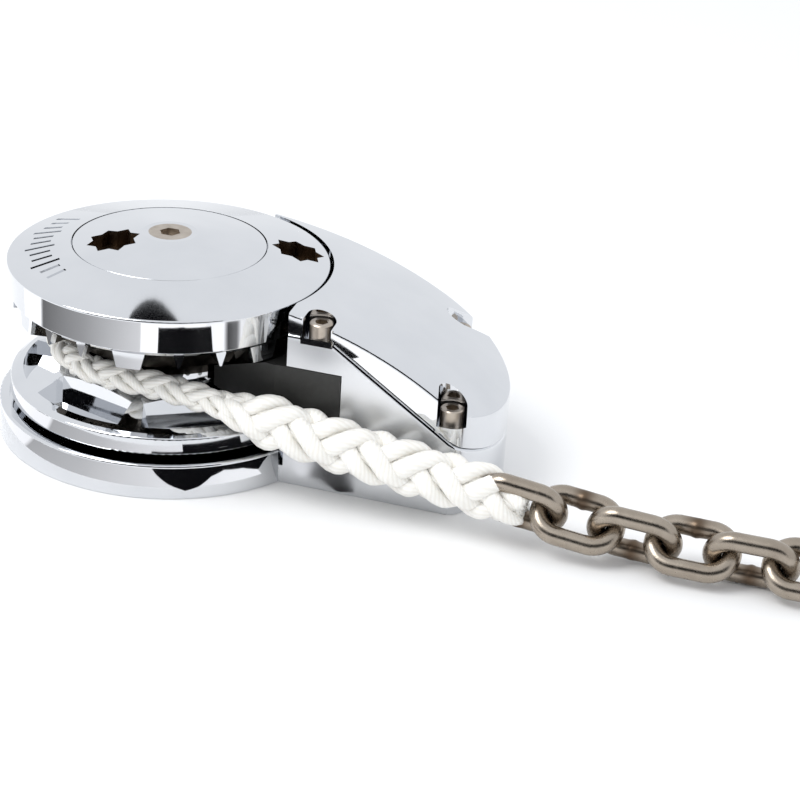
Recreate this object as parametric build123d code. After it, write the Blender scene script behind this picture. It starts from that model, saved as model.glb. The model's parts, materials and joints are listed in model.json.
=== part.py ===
"""Deck unit of a low-profile vertical anchor windlass for rope and chain.

Frame: the origin is on the main shaft's axis, in the plane where the base meets the deck.
+Z points up, +X points to the bow, where the rode comes from, and the rode runs in along -Y.
All sizes are in millimetres.
"""

from build123d import *
from math import acos, atan2, cos, degrees, hypot, pi, radians, sin, sqrt, tan
import os

# ---- Sizes that only have to reach past the whole unit ----
beyond = 200.0
tall = 100.0

# ---- Rode: 8 mm short-link chain spliced to rope ----
chain_wire = 8.0
chain_pitch = 24.0
chain_width = 27.0
link_play = 0.05
rope_diameter = 13.0
splice_diameter = 24.0

# ---- Chainwheel ----
wheel_pockets = 7
tooth_angle = -82.3
groove_height = 41.0
rope_seat_radius = 46.5
rope_play = 0.35
groove_half_angle = 20.0
groove_root_radius = 39.4
tooth_radius = 66.0
pocket_inner_radius = 49.0
pocket_outer_radius = 63.0
pocket_inner_length = 35.0
pocket_flare = 20.0
pocket_draft = 14.0
lower_pocket_floor = 21.5
upper_pocket_roof = 62.5
lower_rim_radius = 68.5
lower_rim_bottom = 17.5
lower_rim_top = 25.2
upper_rim_bottom_radius = 68.2
upper_rim_bottom = 64.4
upper_rim_radius = 69.8
upper_rim_top = 79.2
ring_inner_radius = 42.3
rib_sink = 2.0
ring_inner_height = 85.9
nut_recess_floor = 78.5
hub_bore_radius = 31.5
cone_seat_step = 0.1
cone_lift_room = 0.4
bolt_radius = 36.2
bolt_head_radius = 3.5
bolt_head_height = 4.0
bolt_head_depth = 4.4
bolt_shank_radius = 2.0
bolt_length = 45.0
bolt_socket = 3.0
grip_rib_angle = 7.6
grip_rib_root = 4.2
grip_rib_tip = 0.9
grip_rib_drop = 5.4
grip_rib_depth = 11.0
wheel_edge_radius = 1.1
mark_count = 12
mark_pitch_angle = 6.2
mark_start_angle = 166.0
long_mark = 13.0
short_mark = 9.0
mark_width = 1.8
mark_depth = 0.5

# ---- Star sockets for the winch handle ----
star_radius = 11.5
star_depth = 7.0
ring_star_radius = 55.6
ring_star_angle = 24.5
nut_star_radius = 24.7
nut_star_angle = -146.0

# ---- Clutch ----
fit = 0.05
lower_cone_bottom = 38.0
lower_cone_top = 52.0
cone_small_radius = 27.0
lower_cone_bevel = 1.0
keyway_play = 0.15
upper_cone_bottom = 56.0
upper_cone_top = 68.0
nut_hub_bottom = 71.0
disc_outer = 21.0
disc_inner = 12.0
disc_dish = 0.5
disc_thickness = 0.8
nut_hub_radius = 24.0
nut_disc_radius = 41.8
nut_disc_bottom = 79.2
nut_top = 91.0
nut_flat_radius = 12.0
nut_edge_radius = 0.5
plug_head_radius = 9.3
plug_head_height = 3.6
plug_shank_radius = 6.0
plug_socket = 8.0
plug_socket_depth = 3.0
plug_rim = 0.3
plug_room = 0.8

# ---- Main shaft and its bearings ----
shaft_bottom = 0.5
journal_radius = 12.5
drive_radius = 11.0
thread_radius = 10.0
thread_relief = 0.6
collar_width = 2.0
shaft_top = 86.0
drive_bore_radius = 8.0
drive_bore_depth = 22.0
gear_key_width = 5.0
gear_key_depth = 2.3
key_width = 6.0
key_height = 6.0
key_bottom = 39.0
key_top = 67.5
bearing_outer_radius = 23.5
bearing_width = 12.0
bearing_pitch_radius = 18.0
ball_radius = 3.3
ball_play = 0.06
ball_count = 10
lower_bearing_bottom = 4.0
upper_bearing_bottom = 20.0
race_wall = 2.0
hub_outer_radius = 30.0
hub_top = 37.4
circlip_width = 1.5
circlip_bite = 0.9
circlip_reach = 2.5
circlip_opening = 5.0
spacer_wall = 2.5
seal_play = 0.1
bearing_ledge = 3.0

# ---- Base ----
base_radius = 73.5
base_height = 15.4
base_recess_radius = 69.3
base_recess_floor = 13.0
rim_edge_radius = 1.2
floor_thickness = 8.0
nose_centre_x = 99.5
nose_radius = 54.5
near_wall_y = 34.0
near_corner_radius = 7.0
wall_thickness = 4.0
shoulder_radius = 2.4
near_wall_start = 67.0
far_wall_start = 24.0
wheel_gap = 1.4
pipe_x = 110.0
pipe_y = 29.0
pipe_radius = 16.5
stud_circle_radius = 60.0
stud_hole_radius = 3.4
stud_depth = 10.0
nose_stud_depth = 13.0
nose_boss_radius = 8.0
nose_boss_height = 16.0
boss_inset = 0.5
pipe_rim_width = 3.0
pipe_rim_height = 14.0
nose_stud_x = 126.0
nose_stud_y = -12.0
gasket_inset = 4.0
gasket_width = 4.0
gasket_depth = 1.5

# ---- Cover ----
crown_edge_radius = 70.8
crown_edge_height = 79.5
crown_nose_radius = 154.0
crown_nose_height = 40.0
crown_arc_radius = 175.0
crown_start_radius = 60.0
crown_end_radius = 160.0
cover_wall = 3.5
cover_edge_radius = 1.6
parting_height = 69.5
parting_knee_x = 85.4
parting_slope = 0.668
seal_thickness = 0.8
seal_inset = 1.0
seal_drop = 2.0
screw_sites = ((79.5, -28.2, 68.8), (137.5, -26.0, 40.0), (122.0, 37.0, 48.5))
screw_pocket_ways = (-90, -75, 45)
screw_foot_radius = 6.8
screw_pocket_radius = 6.2
cover_foot = 2.8
cover_foot_radius = 8.8
cap_head_radius = 5.0
cap_head_height = 6.0
cap_shank_radius = 3.0
cap_socket = 5.0
screw_chamfer_share = 0.08
socket_floor_share = 0.45
cap_screw_length = 12.0
screw_clearance = 0.3
screw_end_room = 1.0
boss_play = 0.4

# ---- Stripper ----
stripper_right = 91.0
stripper_face_y = -34.2
stripper_plan = (
    (stripper_right, stripper_face_y),
    (stripper_right, 0.0),
    (stripper_right - 9.0, 12.0),
    (62.0, 26.0),
    (34.0, 27.5),
    (30.0, -27.0),
    (62.0, stripper_face_y),
)
stripper_half_height = 13.4
stripper_room = 0.3
stripper_groove_gap = 1.3
stripper_tip_radius = 42.5
stripper_screw_sites = ((84.0, -14.0), (84.0, 2.0))
stripper_screw_radius = 2.5
stripper_boss_radius = 6.0
stripper_screw_length = 32.0
stripper_head_radius = 4.25
stripper_head_height = 5.0
stripper_head_depth = 5.6
stripper_socket = 4.0

# ---- Pressure finger ----
pivot_x = 80.0
pivot_y = 48.0
pivot_pin_radius = 3.0
pin_head_radius = 4.2
pin_head_drop = 2.0
pin_play = 0.3
finger_line = ((53.5, 50.4), (42.0, 51.0), (30.0, 52.6), (21.0, 53.6), (12.5, 54.8))
finger_web_length = 4.0
finger_arm_half_width = 2.5
finger_boss_radius = 4.8
finger_arm_bottom = 55.0
finger_arm_top = 57.4
finger_boss_top = 61.6
finger_blade_thickness = 5.0
finger_blade_half_height = 6.5
lug_radius = 7.0
lug_reach = 12.0
lug_bottom = 62.0
lug_top = 68.0
spring_wire = 1.2
spring_radius = 6.4
spring_pitch = 1.35
spring_turns = 2.2
spring_play = 0.15

# ---- Rode route: chosen points, from the deck pipe, round the wheel and out to the chain ----
wrap_turn = 47.0
wrap_corner_radius = rope_seat_radius / cos(radians(wrap_turn / 2))
wrap_angles = (105.5, 152.5, 199.5, 246.5)
route = [
    (110.0, 29.0, 1.0),
    (110.0, 29.3, 23.0),
    (93.0, 32.6, 40.4),
    (52.0, 39.4, 41.3),
]
for angle in wrap_angles:
    turn = radians(angle)
    route.append((wrap_corner_radius * cos(turn), wrap_corner_radius * sin(turn), groove_height))
route += [
    (24.0, -46.5, 41.0),
    (84.0, -46.4, 30.2),
    (140.0, -46.2, 23.4),
    (176.0, -46.0, 18.7),
]
splice_taper = (44.0, 58.0)
splice_lip = 0.4
link_start = (174.5, -46.0, 18.9)
link_headings = ((0.6, 7.0), (0.8, 6.5), (0.8, 3.5), (0.6, 0.8), (0.6, 0.0), (0.6, 0.0))
odd_link_roll = -68.0
even_link_roll = 38.0


def ring(outer, inner, bottom, top):
    """A plain ring about the shaft's axis."""
    body = Cylinder(outer, top - bottom, align=(Align.CENTER, Align.CENTER, Align.MIN))
    body -= Cylinder(inner, top - bottom, align=(Align.CENTER, Align.CENTER, Align.MIN))
    return Pos(0, 0, bottom) * body


def post(x, y, radius, bottom, top):
    """A vertical round post."""
    return Pos(x, y, bottom) * Cylinder(radius, top - bottom, align=(Align.CENTER, Align.CENTER, Align.MIN))


def turned(points):
    """A body turned about the shaft's axis from (radius, height) points."""
    outline = Polyline(*[(r, 0, z) for r, z in points], close=True)
    return revolve(make_face(outline), Axis.Z)


def around(angle, radius=0.0, height=0.0):
    """A place at an angle about the shaft's axis."""
    return Rot(0, 0, angle) * Pos(radius, 0, height)


def circles_at(body, radius):
    """The round edges of a turned body at a radius."""
    rims = body.edges().filter_by(GeomType.CIRCLE)
    return rims.filter_by(lambda edge: abs(edge.radius - radius) < 0.01)


def groove_half(radius):
    """Half the opening of the rope groove at a radius."""
    side = radians(groove_half_angle)
    return (rope_diameter / 2 + rope_play) / cos(side) + (radius - rope_seat_radius) * tan(side)


def save(shape, name):
    """Write one node."""
    export_step(shape, f"parts/{name}.step")


os.makedirs("parts", exist_ok=True)


# ---- Plan outline of the base and the cover ----
def outline(inset):
    """The housing seen from above, drawn in by an inset."""
    disc = base_radius - inset
    nose = nose_radius - inset
    turn = acos((base_radius - nose_radius) / nose_centre_x)
    upper = [(disc * cos(turn), disc * sin(turn)), (nose_centre_x + nose * cos(turn), nose * sin(turn))]
    corners = [(0, 0)] + upper + [(nose_centre_x, -nose), (0, -disc)]
    shape = make_face(Polyline(*corners, close=True)) + Pos(nose_centre_x, 0) * Circle(nose)
    outside = Rectangle(2 * beyond, beyond, align=(Align.CENTER, Align.MAX))
    shape -= Pos(nose_centre_x, -near_wall_y + inset) * outside
    corner_x = nose_centre_x + sqrt(nose**2 - (near_wall_y - inset) ** 2)
    corner = min(shape.vertices(), key=lambda v: hypot(v.X - corner_x, v.Y + near_wall_y - inset))
    if near_corner_radius > inset:
        shape = fillet(corner, near_corner_radius - inset)
    return shape + Circle(disc)


def crown(drop):
    """Everything below the cover's domed top, lowered by a wall."""
    ax, az, bx, bz = crown_edge_radius, crown_edge_height, crown_nose_radius, crown_nose_height
    half = hypot(bx - ax, bz - az) / 2
    back = sqrt(crown_arc_radius**2 - half**2)
    centre_r = (ax + bx) / 2 - back * (az - bz) / (2 * half)
    centre_z = (az + bz) / 2 - back * (bx - ax) / (2 * half)
    radius = crown_arc_radius - drop

    def on_arc(r):
        return (r, 0, centre_z + sqrt(radius**2 - (r - centre_r) ** 2))

    start, end = on_arc(crown_start_radius), on_arc(crown_end_radius)
    edge = ThreePointArc(start, on_arc((crown_start_radius + crown_end_radius) / 2), end)
    rest = Polyline(end, (crown_end_radius, 0, 0), (0, 0, 0), (0, 0, start[2]), start)
    return revolve(make_face([edge, rest]), Axis.Z)


def below_parting(raise_by):
    """Everything below the joint between the base's walls and the cover."""
    knee = parting_height + raise_by
    low = knee - parting_slope * (beyond - parting_knee_x)
    corners = [(-beyond, -beyond), (-beyond, knee), (parting_knee_x, knee), (beyond, low), (beyond, -beyond)]
    return extrude(Plane.XZ * make_face(Polyline(*corners, close=True)), beyond, both=True)


def stripper_blank(room):
    """The stripper's outline seen from above as a block, with room around it but not beneath it."""
    face = make_face(Polyline(*stripper_plan, close=True))
    if room > 0:
        face = offset(face, room, kind=Kind.INTERSECTION)
    return Pos(0, 0, groove_height - stripper_half_height) * extrude(face, 2 * stripper_half_height + room)


wheel_clearance = Cylinder(upper_rim_radius + wheel_gap, 2 * beyond)
far_half = Box(beyond, tall, 2 * beyond, align=(Align.MIN, Align.MIN, Align.CENTER))
wall_side = Pos(far_wall_start, 0, 0) * far_half + Pos(near_wall_start, -tall, 0) * far_half
walls = extrude(outline(0), tall) - extrude(outline(wall_thickness), tall)
walls = (walls & wall_side) - wheel_clearance


def on_shoulder(edge):
    """Whether an edge is the outer top edge of the base's walls, where the cover meets them."""
    middle = edge.position_at(0.5)
    knee = min(0, parting_knee_x - middle.X)
    at_parting = abs(middle.Z - (parting_height + parting_slope * knee)) < 0.01
    inner = outline(wall_thickness / 2).face()
    is_outer = not inner.is_inside(Vector(middle.X, middle.Y, 0))
    return at_parting and is_outer and edge.length > 2 * wall_thickness


# ---- Base housing ----
base = extrude(outline(0), floor_thickness)
base += Cylinder(base_radius, base_height, align=(Align.CENTER, Align.CENTER, Align.MIN))
rim_edge = base.edges().filter_by(GeomType.CIRCLE).filter_by(lambda e: abs(e.center().Z - base_height) < 0.01)
base = fillet(rim_edge, rim_edge_radius)
base -= post(0, 0, base_recess_radius, base_recess_floor, base_height + 1)
wall_part = (walls & crown(0)) & below_parting(0)
shoulder = wall_part.edges().filter_by(on_shoulder)
base += fillet(shoulder, shoulder_radius)
base += post(0, 0, hub_outer_radius, base_recess_floor, hub_top)
bosses = Part()
for x, y, seat in screw_sites:
    bosses += post(x, y, screw_foot_radius, 0, seat - cover_foot)
bosses += post(nose_stud_x, nose_stud_y, nose_boss_radius, 0, nose_boss_height)
for x, y in stripper_screw_sites:
    bosses += post(x, y, stripper_boss_radius, 0, groove_height - stripper_half_height)
bosses += post(pivot_x, pivot_y, lug_radius, lug_bottom, lug_top)
lug_root = Box(2 * lug_radius, lug_reach, lug_top - lug_bottom, align=(Align.CENTER, Align.MIN, Align.MIN))
bosses += Pos(pivot_x, pivot_y, lug_bottom) * lug_root
bosses += post(pipe_x, pipe_y, pipe_radius + pipe_rim_width, 0, pipe_rim_height)
base += (bosses & extrude(outline(boss_inset), tall) & below_parting(0)) - wheel_clearance
base -= post(0, 0, bearing_outer_radius, lower_bearing_bottom, tall)
base -= post(0, 0, bearing_outer_radius - bearing_ledge, -tall, tall)
clip_bottom = upper_bearing_bottom + bearing_width
clip_top = clip_bottom + circlip_width
base -= ring(bearing_outer_radius + circlip_bite, bearing_outer_radius - 1, clip_bottom, clip_top)
base -= post(pipe_x, pipe_y, pipe_radius, -tall, tall)
for quarter in range(4):
    base -= Rot(0, 0, 45 + 90 * quarter) * post(stud_circle_radius, 0, stud_hole_radius, 0, stud_depth)
base -= post(nose_stud_x, nose_stud_y, stud_hole_radius, 0, nose_stud_depth)
for x, y, seat in screw_sites:
    base -= post(x, y, cap_shank_radius, seat - cap_screw_length - screw_end_room, seat)
for x, y in stripper_screw_sites:
    base -= post(x, y, stripper_screw_radius, floor_thickness, groove_height)
base -= post(pivot_x, pivot_y, pivot_pin_radius, lug_bottom, lug_top)
gasket_track = extrude(outline(gasket_inset), gasket_depth)
gasket_track -= extrude(outline(gasket_inset + gasket_width), gasket_depth)
base -= gasket_track
base -= stripper_blank(stripper_room)
for x, y, seat in screw_sites:
    base -= post(x, y, cover_foot_radius + screw_clearance, seat - cover_foot, tall)
save(base, "base_housing")
save(gasket_track, "base_gasket")


# ---- Cover over the chain pipe, and its rubber seal ----
skin = ((extrude(outline(0), tall) & crown(0)) & wall_side) - wheel_clearance
outer_edges = skin.edges().filter_by(
    lambda edge: edge.center().Z > crown_nose_height
    and edge.center().X > near_wall_start + cover_edge_radius / 2
    and abs(edge.tangent_at(0.5).Z) < 0.9
)
skin = fillet(outer_edges, cover_edge_radius)
hollow = extrude(outline(wall_thickness), tall) & crown(cover_wall)
cover = (skin - hollow) - below_parting(seal_thickness)
feet = Part()
for x, y, seat in screw_sites:
    feet += post(x, y, cover_foot_radius, seat - cover_foot, tall)
cover += (feet & (extrude(outline(0), tall) & crown(0))) - wheel_clearance
for (x, y, seat), way in zip(screw_sites, screw_pocket_ways):
    notch = Circle(screw_pocket_radius)
    notch += Rot(0, 0, way) * Rectangle(beyond, 2 * screw_pocket_radius, align=(Align.MIN, Align.CENTER))
    cover -= Pos(x, y, seat) * extrude(notch, tall)
    cover -= post(x, y, cap_shank_radius + screw_clearance, 0, seat)
base_bosses = Part()
for x, y, seat in screw_sites:
    base_bosses += post(x, y, screw_foot_radius + boss_play, 0, seat - cover_foot)
cover -= base_bosses
save(cover, "chain_pipe_cover")

seal = extrude(outline(seal_inset), tall) - extrude(outline(wall_thickness), tall)
seal = ((seal & wall_side) - wheel_clearance) & below_parting(seal_thickness)
seal -= below_parting(0)
seal &= crown(seal_drop)
for x, y, seat in screw_sites:
    seal -= post(x, y, cover_foot_radius + boss_play, 0, tall)
save(seal, "cover_seal")


def cap_screw(x, y, seat, length, head_radius, head_height, shank_radius, socket):
    """A socket head cap screw, seated under its head."""
    screw = post(x, y, head_radius, seat, seat + head_height)
    head_top = screw.edges().sort_by(Axis.Z)[-1]
    screw = chamfer(head_top, head_height * screw_chamfer_share)
    screw += post(x, y, shank_radius, seat - length, seat)
    hexagon = extrude(RegularPolygon(socket / 2, 6, major_radius=False), head_height)
    screw -= Pos(x, y, seat + head_height * socket_floor_share) * hexagon
    return screw


cover_screws = []
cap_sizes = (cap_screw_length, cap_head_radius, cap_head_height, cap_shank_radius, cap_socket)
for x, y, seat in screw_sites:
    cover_screws.append(cap_screw(x, y, seat, *cap_sizes))
save(Compound(children=cover_screws), "cover_screws")

# ---- Stripper, which lifts the chain out of the wheel ----
blank = stripper_blank(0)
plate_edge = upper_rim_radius + wheel_gap
tip_half = groove_half(stripper_tip_radius) - stripper_groove_gap
mouth_half = groove_half(tooth_radius) - stripper_groove_gap
section = [
    (stripper_tip_radius, groove_height - tip_half),
    (tooth_radius, groove_height - mouth_half),
    (plate_edge, groove_height - mouth_half),
    (plate_edge, groove_height - stripper_half_height),
    (beyond, groove_height - stripper_half_height),
    (beyond, groove_height + stripper_half_height),
    (plate_edge, groove_height + stripper_half_height),
    (plate_edge, groove_height + mouth_half),
    (tooth_radius, groove_height + mouth_half),
    (stripper_tip_radius, groove_height + tip_half),
]
stripper = blank & turned(section)
stripper_screws = []
stripper_sizes = (
    stripper_screw_length,
    stripper_head_radius,
    stripper_head_height,
    stripper_screw_radius,
    stripper_socket,
)
seat = groove_height + stripper_half_height - stripper_head_depth
for x, y in stripper_screw_sites:
    stripper -= post(x, y, stripper_head_radius + screw_clearance, seat, tall)
    stripper -= post(x, y, stripper_screw_radius + screw_clearance, 0, tall)
    stripper_screws.append(cap_screw(x, y, seat, *stripper_sizes))
save(stripper, "stripper")
save(Compound(children=stripper_screws), "stripper_screws")

# ---- Pressure finger, which holds the rope in the groove ----
root_x, root_y = finger_line[0]
root_x -= finger_web_length
arm_corners = [(pivot_x, pivot_y - finger_boss_radius), (pivot_x, pivot_y + finger_boss_radius)]
arm_corners += [(root_x, root_y + finger_arm_half_width), (root_x, root_y - finger_arm_half_width)]
arm = make_face(Polyline(*arm_corners, close=True))
finger = Pos(0, 0, finger_arm_bottom) * extrude(arm, finger_arm_top - finger_arm_bottom)
finger += post(pivot_x, pivot_y, finger_boss_radius, finger_arm_bottom, finger_boss_top)
blade = Part()
low = groove_height - finger_blade_half_height
for (x0, y0), (x1, y1) in zip(finger_line, finger_line[1:]):
    length = hypot(x1 - x0, y1 - y0)
    turn = degrees(atan2(y1 - y0, x1 - x0))
    high = low + 2 * finger_blade_half_height
    bar = Box(length, finger_blade_thickness, high - low, align=(Align.MIN, Align.CENTER, Align.MIN))
    blade += Pos(x0, y0, low) * Rot(0, 0, turn) * bar
    blade += post(x1, y1, finger_blade_thickness / 2, low, high)
finger += blade
web_size = (finger_web_length, finger_blade_thickness, finger_arm_top - low)
finger += Pos(root_x, root_y, low) * Box(*web_size, align=(Align.MIN, Align.CENTER, Align.MIN))
finger -= post(pivot_x, pivot_y, pivot_pin_radius + fit, 0, tall)
save(finger, "pressure_finger")

pin = post(pivot_x, pivot_y, pivot_pin_radius, finger_arm_bottom - pin_head_drop, lug_top)
pin_head = (finger_arm_bottom - pin_head_drop, finger_arm_bottom - pin_play)
pin += post(pivot_x, pivot_y, pin_head_radius, *pin_head)
save(pin, "finger_pin")

coil_bottom = finger_arm_top + spring_wire / 2 + spring_play
coil = Helix(spring_pitch, spring_turns * spring_pitch, spring_radius)
wire_section = Plane(coil @ 0, z_dir=coil % 0) * Circle(spring_wire / 2)
spring = Pos(pivot_x, pivot_y, coil_bottom) * sweep(wire_section, path=coil, is_frenet=True)
save(spring, "finger_spring")


# ---- Bearings, spacers, circlips and seal ----
def at_both(make):
    """The same piece in the lower and the upper bearing."""
    return Compound(children=[make(lower_bearing_bottom), make(upper_bearing_bottom)])


def ball_track(bottom):
    """The round groove that the balls run in."""
    return Pos(0, 0, bottom + bearing_width / 2) * Torus(bearing_pitch_radius, ball_radius + ball_play)


def outer_race(bottom):
    inner = bearing_pitch_radius + race_wall
    return ring(bearing_outer_radius, inner, bottom, bottom + bearing_width) - ball_track(bottom)


def inner_race(bottom):
    outer = bearing_pitch_radius - race_wall
    return ring(outer, journal_radius, bottom, bottom + bearing_width) - ball_track(bottom)


balls = []
for bottom in (lower_bearing_bottom, upper_bearing_bottom):
    for k in range(ball_count):
        place = around(360 / ball_count * k, bearing_pitch_radius, bottom + bearing_width / 2)
        balls.append(place * Sphere(ball_radius))
save(at_both(outer_race), "bearing_outer_races")
save(at_both(inner_race), "bearing_inner_races")
save(Compound(children=balls), "bearing_balls")
spacer_bottom = lower_bearing_bottom + bearing_width
spacer_span = (spacer_bottom, upper_bearing_bottom)
save(ring(bearing_outer_radius, bearing_outer_radius - spacer_wall, *spacer_span), "outer_spacer")
save(ring(journal_radius + spacer_wall, journal_radius, *spacer_span), "inner_spacer")
clip_opening = Box(2 * (circlip_bite + circlip_reach), circlip_opening, tall)
hub_clip_radii = (bearing_outer_radius + circlip_bite, bearing_outer_radius - circlip_reach)
hub_clip = ring(*hub_clip_radii, clip_bottom, clip_top)
hub_clip -= Pos(bearing_outer_radius, 0, 0) * clip_opening
save(hub_clip, "hub_circlip")
save(ring(bearing_outer_radius, journal_radius + fit, clip_top + seal_play, hub_top), "shaft_seal")

# ---- Main shaft, key and circlip ----
shaft = post(0, 0, journal_radius, shaft_bottom, lower_cone_bottom)
shaft += ring(journal_radius + collar_width, journal_radius - 1, clip_bottom, clip_top)
shaft += post(0, 0, drive_radius, lower_cone_bottom, nut_hub_bottom - thread_relief)
shaft += post(0, 0, thread_radius, nut_hub_bottom - thread_relief, shaft_top)
upright = (Align.CENTER, Align.CENTER, Align.MIN)
key_space = Pos(drive_radius, 0, key_bottom) * Box(key_height, key_width, key_top - key_bottom, align=upright)
shaft -= key_space
shaft -= post(0, 0, drive_bore_radius, 0, drive_bore_depth)
gear_key_slot = Box(2 * gear_key_depth, gear_key_width, drive_bore_depth, align=upright)
shaft -= Pos(drive_bore_radius, 0, 0) * gear_key_slot
shaft_clip_bottom = lower_bearing_bottom - circlip_width
shaft_clip_span = (shaft_clip_bottom, lower_bearing_bottom)
shaft -= ring(journal_radius + circlip_bite, journal_radius - circlip_bite, *shaft_clip_span)
save(shaft, "main_shaft")
save(key_space, "drive_key")
shaft_clip = ring(journal_radius + circlip_reach, journal_radius - circlip_bite, *shaft_clip_span)
shaft_clip -= Pos(-journal_radius, 0, 0) * clip_opening
save(shaft_clip, "shaft_circlip")

# ---- Clutch cones, disc springs and nut ----
cone_slope = (hub_bore_radius - cone_seat_step - cone_small_radius) / (lower_cone_top - groove_height)
lower_cone = turned(
    [
        (drive_radius, lower_cone_bottom),
        (hub_bore_radius - lower_cone_bevel, lower_cone_bottom),
        (hub_bore_radius - cone_seat_step - fit, groove_height),
        (cone_small_radius - fit, lower_cone_top),
        (drive_radius, lower_cone_top),
    ]
)
lower_cone -= key_space
save(lower_cone, "lower_clutch_cone")

upper_cone_large = cone_small_radius + cone_slope * (upper_cone_top - upper_cone_bottom)
upper_cone = turned(
    [
        (drive_radius + fit, upper_cone_bottom),
        (cone_small_radius - fit, upper_cone_bottom),
        (upper_cone_large - fit, upper_cone_top),
        (drive_radius + fit, upper_cone_top),
    ]
)
keyway = Box(key_height + 2 * keyway_play, key_width + 2 * keyway_play, tall, align=upright)
upper_cone -= Pos(drive_radius, 0, key_bottom) * keyway
save(upper_cone, "upper_clutch_cone")

spring_gap = nut_hub_bottom - upper_cone_top
disc_springs = []
for k, (low_r, high_r) in enumerate(((disc_outer, disc_inner), (disc_inner, disc_outer))):
    foot = upper_cone_top + fit + k * spring_gap / 2
    tip = foot + disc_dish
    under = [(low_r, foot), (high_r, tip)]
    over = [(high_r, tip + disc_thickness), (low_r, foot + disc_thickness)]
    disc_springs.append(turned(under + over))
save(Compound(children=disc_springs), "disc_springs")


def star(radius):
    """An eight-point star: two squares, one turned by an eighth."""
    square = radius * sqrt(2)
    return Rectangle(square, square) + Rot(0, 0, 45) * Rectangle(square, square)


nut = turned(
    [
        (thread_radius + fit, nut_hub_bottom),
        (nut_hub_radius, nut_hub_bottom),
        (nut_hub_radius, nut_disc_bottom),
        (nut_disc_radius, nut_disc_bottom),
        (nut_disc_radius, ring_inner_height),
        (nut_flat_radius, nut_top),
        (0, nut_top),
        (0, shaft_top + plug_room),
        (thread_radius + fit, shaft_top + plug_room),
    ]
)
plug = turned(
    [
        (0, shaft_top + plug_room),
        (plug_shank_radius, shaft_top + plug_room),
        (plug_shank_radius, nut_top - plug_head_height),
        (plug_head_radius, nut_top - plug_rim),
        (plug_head_radius, nut_top),
        (0, nut_top),
    ]
)
nut = fillet(circles_at(nut, nut_disc_radius), nut_edge_radius)
nut -= plug
nut_slope = (nut_top - ring_inner_height) / (nut_disc_radius - nut_flat_radius)
nut_star_floor = nut_top - nut_slope * (nut_star_radius - nut_flat_radius) - star_depth
nut -= around(nut_star_angle, nut_star_radius, nut_star_floor) * extrude(star(star_radius), tall)
save(nut, "clutch_nut")
hexagon = extrude(RegularPolygon(plug_socket / 2, 6, major_radius=False), tall)
plug -= Pos(0, 0, nut_top - plug_socket_depth) * hexagon
save(plug, "nut_plug_screw")

# ---- Chainwheel: two castings bolted together ----
lower_wheel = turned(
    [
        (hub_bore_radius, lower_rim_bottom),
        (lower_rim_radius, lower_rim_bottom),
        (lower_rim_radius, lower_rim_top),
        (tooth_radius, groove_height - groove_half(tooth_radius)),
        (groove_root_radius, groove_height - groove_half(groove_root_radius)),
        (groove_root_radius, groove_height),
        (hub_bore_radius, groove_height),
    ]
)
upper_wheel = turned(
    [
        (hub_bore_radius - cone_seat_step, groove_height),
        (groove_root_radius, groove_height),
        (groove_root_radius, groove_height + groove_half(groove_root_radius)),
        (tooth_radius, groove_height + groove_half(tooth_radius)),
        (tooth_radius, upper_pocket_roof),
        (upper_rim_bottom_radius, upper_rim_bottom),
        (upper_rim_radius, upper_rim_top),
        (ring_inner_radius, ring_inner_height),
        (ring_inner_radius, nut_recess_floor),
        (upper_cone_large + cone_lift_room, nut_recess_floor),
        (upper_cone_large + cone_lift_room, upper_cone_top + 2 * cone_lift_room),
        (upper_cone_large, upper_cone_top),
        (cone_small_radius, upper_cone_bottom),
        (cone_small_radius, lower_cone_top),
    ]
)
lower_wheel = fillet(circles_at(lower_wheel, lower_rim_radius), wheel_edge_radius)
upper_wheel = fillet(circles_at(upper_wheel, upper_rim_radius), wheel_edge_radius)
upper_wheel = fillet(circles_at(upper_wheel, upper_rim_bottom_radius), wheel_edge_radius / 2)


def pocket(height):
    """A chain pocket's space, flaring outwards and opening away from its floor."""
    reach = 2 * upper_rim_radius
    inner = pocket_inner_length / 2
    outer = inner + (reach - pocket_inner_radius) * tan(radians(pocket_flare))
    corners = [(pocket_inner_radius, -inner), (reach, -outer), (reach, outer), (pocket_inner_radius, inner)]
    return extrude(make_face(Polyline(*corners, close=True)), height, taper=-pocket_draft)


pocket_step = 360 / wheel_pockets
lower_pocket = Pos(0, 0, lower_pocket_floor) * pocket(groove_height - lower_pocket_floor)
lower_pocket &= post(0, 0, pocket_outer_radius, 0, groove_height)
upper_pocket = Pos(0, 0, upper_pocket_roof) * Rot(180, 0, 0) * pocket(upper_pocket_roof - groove_height)
rib_section = Polyline(
    (-grip_rib_root / 2, rib_sink),
    (-grip_rib_root / 2, 0),
    (-grip_rib_tip / 2, -grip_rib_drop),
    (grip_rib_tip / 2, -grip_rib_drop),
    (grip_rib_root / 2, 0),
    (grip_rib_root / 2, rib_sink),
    close=True,
)
rib = extrude(Plane.YZ * make_face(rib_section), -grip_rib_depth)
for k in range(wheel_pockets):
    middle = tooth_angle + pocket_step * (k + 0.5)
    lower_wheel -= Rot(0, 0, middle) * lower_pocket
    upper_wheel -= Rot(0, 0, middle) * upper_pocket
    for side in (-1, 1):
        upper_wheel += around(middle + side * grip_rib_angle, tooth_radius + 1, upper_pocket_roof) * rib
wheel_screws = []
bolt_seat = nut_recess_floor - bolt_head_depth
bolt_sizes = (bolt_length, bolt_head_radius, bolt_head_height, bolt_shank_radius, bolt_socket)
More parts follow.
